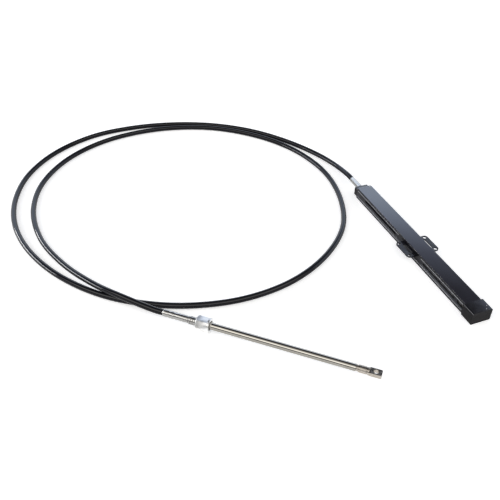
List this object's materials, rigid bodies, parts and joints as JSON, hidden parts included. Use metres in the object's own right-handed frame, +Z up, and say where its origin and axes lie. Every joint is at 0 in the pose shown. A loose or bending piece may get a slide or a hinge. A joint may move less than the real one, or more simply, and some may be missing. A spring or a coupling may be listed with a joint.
{
  "type": "boat steering cable",
  "caption": "Rack-type boat steering cable: slotted rack housing, long looped conduit and a sliding output ram with coupling nut and bladed tip.",
  "frame": {"origin": "middle of the rack housing's base, on the floor", "axes": "+Y along the rack housing to the cable's entry, +Z up, away from the floor"},
  "size_m": [0.9629, 1.2001, 0.033],
  "materials": {
    "black_paint": "satin",
    "gloss_black": "gloss",
    "satin_black": "satin",
    "zinc": "satin",
    "dark_steel": "greased",
    "conduit_black": "gloss",
    "stainless": "polished"
  },
  "bodies": {
    "housing": {"channel_middle": "black_paint", "channel_cable_end": "black_paint", "channel_cap_end": "black_paint", "rack_cover": "gloss_black", "end_cap": "satin_black", "entry_block": "satin_black", "rack_ferrule": "zinc", "core_wire": "dark_steel", "conduit": "conduit_black", "ram_ferrule": "zinc", "guide_hub": "zinc", "guide_tube": "stainless"},
    "rack": {"rack_bar": "dark_steel"},
    "ram": {"ram_tube": "stainless", "ram_tip": "stainless"},
    "nut": {"coupling_nut": "zinc"}
  },
  "joints": [
    {"name": "rack_slide", "type": "slide", "parent": "housing", "child": "rack", "axis": [0, 1, 0], "range_m": [0, 0.2286], "deforming": ["core_wire"]},
    {"name": "ram_slide", "type": "slide", "parent": "housing", "child": "ram", "axis": [0.7478, -0.6639, 0], "range_m": [0, 0.2286]},
    {"name": "nut_spin", "type": "hinge", "parent": "housing", "child": "nut", "pos_m": [-0.56096, -0.09007, 0.0165], "axis": [0.7478, -0.6639, 0], "continuous": true}
  ],
  "couplings": [
    {"joint": "ram_slide", "follows": "rack_slide", "ratio": 1}
  ]
}
